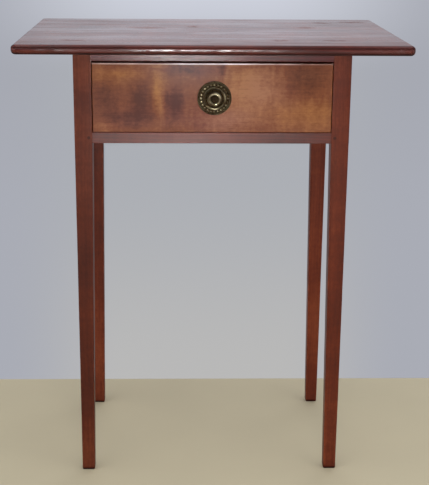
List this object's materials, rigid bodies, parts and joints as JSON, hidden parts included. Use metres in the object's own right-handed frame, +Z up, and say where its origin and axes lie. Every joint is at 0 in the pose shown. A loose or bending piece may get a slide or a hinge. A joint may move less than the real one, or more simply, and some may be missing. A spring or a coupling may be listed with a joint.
{
  "type": "one-drawer stand",
  "caption": "Small wooden side stand with a thin overhanging top, slender tapered legs and a sliding drawer with a round brass knob on a beaded rosette.",
  "frame": {"origin": "on the floor, under the centre of the top", "axes": "+Z up, +X to the right seen from the front, +Y to the back; the drawer opens towards -Y"},
  "size_m": [0.594, 0.43, 0.711],
  "materials": {
    "cherry": "aged shellac, satin",
    "figured_cherry": "aged shellac, satin",
    "peg_wood": "aged shellac, satin",
    "secondary_wood": "bare planed wood",
    "brass": "aged, rubbed on the high parts",
    "iron": "dark, dull"
  },
  "bodies": {
    "stand": {"table_top": "cherry", "left_front_leg": "cherry", "right_front_leg": "cherry", "left_back_leg": "cherry", "right_back_leg": "cherry", "left_apron": "cherry", "right_apron": "cherry", "back_apron": "cherry", "upper_drawer_rail": "cherry", "lower_drawer_rail": "cherry", "front_rail_pegs": "peg_wood", "side_apron_pegs": "peg_wood", "back_apron_pegs": "peg_wood", "left_runner": "secondary_wood", "right_runner": "secondary_wood", "left_guide": "secondary_wood", "right_guide": "secondary_wood", "left_kicker": "secondary_wood", "right_kicker": "secondary_wood", "drawer_stops": "secondary_wood", "top_screws": "iron", "runner_nails": "iron", "guide_nails": "iron", "kicker_nails": "iron"},
    "drawer": {"drawer_front": "figured_cherry", "left_drawer_side": "secondary_wood", "right_drawer_side": "secondary_wood", "drawer_back": "secondary_wood", "drawer_bottom": "secondary_wood", "drawer_bottom_nails": "iron", "pull_rosette": "brass", "pull_knob": "brass", "pull_stud": "brass", "pull_washer": "brass", "pull_nut": "brass"}
  },
  "joints": [
    {"name": "drawer_slide", "type": "slide", "parent": "stand", "child": "drawer", "axis": [0, -1, 0], "range_m": [0, 0.19]}
  ]
}
